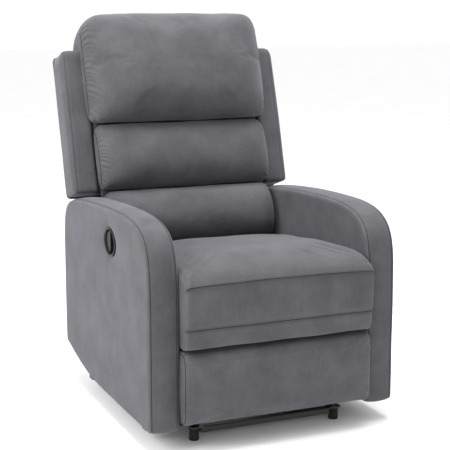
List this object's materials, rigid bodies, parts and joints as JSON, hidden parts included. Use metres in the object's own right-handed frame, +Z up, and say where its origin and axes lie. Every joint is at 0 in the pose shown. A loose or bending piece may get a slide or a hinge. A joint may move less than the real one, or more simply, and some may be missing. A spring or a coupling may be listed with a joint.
{
  "type": "recliner armchair",
  "caption": "Upholstered recliner armchair with a folding footrest, a reclining pillow back and an oval pull-cup release in the right arm.",
  "frame": {"origin": "centre of the chair's box on the floor", "axes": "+Z up, -Y the way the sitter faces, +X to the sitter's left"},
  "size_m": [0.7, 0.8933, 1.0871],
  "materials": {
    "upholstery": "short-pile woven, matt",
    "lining": "non-woven",
    "plywood": "raw",
    "pine": "raw",
    "black_plastic": "moulded",
    "cable_sleeve": "extruded",
    "spring_steel": "oiled",
    "zinc_steel": "zinc plated",
    "black_steel": "semi-gloss black"
  },
  "bodies": {
    "base": {"arm_cover_left": "upholstery", "arm_cover_right": "upholstery", "arm_panel_left": "plywood", "arm_panel_right": "plywood", "arm_support_bar_front": "black_steel", "arm_support_bar_rear": "black_steel", "base_front_rail": "black_steel", "base_rear_rail": "black_steel", "base_side_rail_left": "black_steel", "base_side_rail_right": "black_steel", "foot_front_left": "black_plastic", "foot_front_right": "black_plastic", "foot_rear_left": "black_plastic", "foot_rear_right": "black_plastic", "release_cable": "cable_sleeve", "release_cup": "black_plastic"},
    "release_paddle": {"release_paddle": "black_plastic"},
    "footrest_latch": {"footrest_latch": "zinc_steel"},
    "front_swing_left": {"front_swing_link_left": "black_steel"},
    "front_swing_right": {"front_swing_link_right": "black_steel"},
    "rear_swing_left": {"rear_swing_link_left": "black_steel"},
    "rear_swing_right": {"rear_swing_link_right": "black_steel"},
    "seat": {"seat_cushion": "upholstery", "seat_front_rail": "pine", "seat_plate_left": "black_steel", "seat_plate_right": "black_steel", "seat_rear_rail": "pine", "seat_side_rail_left": "pine", "seat_side_rail_right": "pine", "seat_spring_centre": "spring_steel", "seat_spring_left": "spring_steel", "seat_spring_right": "spring_steel", "footrest_spring": "spring_steel"},
    "backrest": {"back_bracket_left": "black_steel", "back_bracket_right": "black_steel", "back_lower_rail": "pine", "back_post_left": "pine", "back_post_right": "pine", "back_spring": "spring_steel", "back_top_rail": "pine", "head_pillow": "upholstery", "inner_back_panel": "lining", "lumbar_bolster": "upholstery", "middle_bolster": "upholstery", "outer_back_cover": "upholstery", "wing_left": "upholstery", "wing_right": "upholstery"},
    "footrest_drive": {"torque_tube": "zinc_steel", "rear_footrest_link_left": "black_steel", "rear_footrest_link_right": "black_steel"},
    "front_crank_left": {"front_footrest_link_left": "black_steel"},
    "front_crank_right": {"front_footrest_link_right": "black_steel"},
    "long_coupler_left": {"long_footrest_link_left": "black_steel"},
    "long_coupler_right": {"long_footrest_link_right": "black_steel"},
    "short_coupler_left": {"short_footrest_link_left": "black_steel"},
    "short_coupler_right": {"short_footrest_link_right": "black_steel"},
    "footrest": {"footrest_board": "plywood", "footrest_pad": "upholstery", "footrest_bracket_left": "black_steel", "footrest_bracket_right": "black_steel"}
  },
  "joints": [
    {"name": "seat_slide", "type": "slide", "parent": "base", "child": "seat", "axis": [0, -0.9397, 0.342], "range_m": [0, 0.03473]},
    {"name": "backrest_recline", "type": "hinge", "parent": "seat", "child": "backrest", "pos_m": [0, 0.1934, 0.3], "axis": [-1, 0, 0], "range_deg": [0, 32]},
    {"name": "front_swing_left", "type": "hinge", "parent": "base", "child": "front_swing_left", "pos_m": [0.20125, -0.2916, 0.08], "axis": [1, 0, 0], "range_deg": [0, 20]},
    {"name": "rear_swing_left", "type": "hinge", "parent": "base", "child": "rear_swing_left", "pos_m": [0.20125, 0.0434, 0.08], "axis": [1, 0, 0], "range_deg": [0, 20]},
    {"name": "front_swing_right", "type": "hinge", "parent": "base", "child": "front_swing_right", "pos_m": [-0.20125, -0.2916, 0.08], "axis": [1, 0, 0], "range_deg": [0, 20]},
    {"name": "rear_swing_right", "type": "hinge", "parent": "base", "child": "rear_swing_right", "pos_m": [-0.20125, 0.0434, 0.08], "axis": [1, 0, 0], "range_deg": [0, 20]},
    {"name": "footrest_extend", "type": "hinge", "parent": "seat", "child": "footrest_drive", "pos_m": [0, -0.1716, 0.2525], "axis": [-1, 0, 0], "range_deg": [0, 100], "deforming": ["footrest_spring"]},
    {"name": "front_crank_turn_left", "type": "hinge", "parent": "seat", "child": "front_crank_left", "pos_m": [0.21125, -0.3266, 0.2525], "axis": [-1, 0, 0], "range_deg": [0, 100]},
    {"name": "long_coupler_turn_left", "type": "hinge", "parent": "footrest_drive", "child": "long_coupler_left", "pos_m": [0.21625, -0.12714, 0.13034], "axis": [-1, 0, 0], "range_deg": [-100, 0]},
    {"name": "front_crank_turn_right", "type": "hinge", "parent": "seat", "child": "front_crank_right", "pos_m": [-0.21125, -0.3266, 0.2525], "axis": [-1, 0, 0], "range_deg": [0, 100]},
    {"name": "long_coupler_turn_right", "type": "hinge", "parent": "footrest_drive", "child": "long_coupler_right", "pos_m": [-0.21625, -0.12714, 0.13034], "axis": [-1, 0, 0], "range_deg": [-100, 0]},
    {"name": "footrest_turn", "type": "hinge", "parent": "long_coupler_left", "child": "footrest", "pos_m": [0.22125, -0.3666, 0.243], "axis": [-1, 0, 0], "range_deg": [0, 100]},
    {"name": "short_coupler_turn_left", "type": "hinge", "parent": "footrest", "child": "short_coupler_left", "pos_m": [0.21625, -0.3562, 0.1839], "axis": [-1, 0, 0], "range_deg": [-100, 0]},
    {"name": "short_coupler_turn_right", "type": "hinge", "parent": "footrest", "child": "short_coupler_right", "pos_m": [-0.21625, -0.3562, 0.1839], "axis": [-1, 0, 0], "range_deg": [-100, 0]},
    {"name": "paddle_pull", "type": "hinge", "parent": "base", "child": "release_paddle", "pos_m": [-0.3447, -0.0816, 0.492], "axis": [0, 0, -1], "range_deg": [0, 25], "stiffness_Nm_per_rad": 0.25, "springref_deg": -20.05},
    {"name": "latch_turn", "type": "hinge", "parent": "base", "child": "footrest_latch", "pos_m": [-0.18425, -0.2016, 0.088], "axis": [1, 0, 0], "range_deg": [0, 12]}
  ],
  "couplings": [
    {"joint": "seat_slide", "follows": "backrest_recline", "m_per_rad": 0.062183},
    {"joint": "front_swing_left", "follows": "backrest_recline", "ratio": 0.625},
    {"joint": "rear_swing_left", "follows": "backrest_recline", "ratio": 0.625},
    {"joint": "front_crank_turn_left", "follows": "footrest_extend", "ratio": 1},
    {"joint": "long_coupler_turn_left", "follows": "footrest_extend", "ratio": -1},
    {"joint": "short_coupler_turn_left", "follows": "footrest_extend", "ratio": -1},
    {"joint": "front_swing_right", "follows": "backrest_recline", "ratio": 0.625},
    {"joint": "rear_swing_right", "follows": "backrest_recline", "ratio": 0.625},
    {"joint": "front_crank_turn_right", "follows": "footrest_extend", "ratio": 1},
    {"joint": "long_coupler_turn_right", "follows": "footrest_extend", "ratio": -1},
    {"joint": "short_coupler_turn_right", "follows": "footrest_extend", "ratio": -1},
    {"joint": "footrest_turn", "follows": "footrest_extend", "ratio": 1},
    {"joint": "latch_turn", "follows": "paddle_pull", "ratio": 0.48}
  ]
}
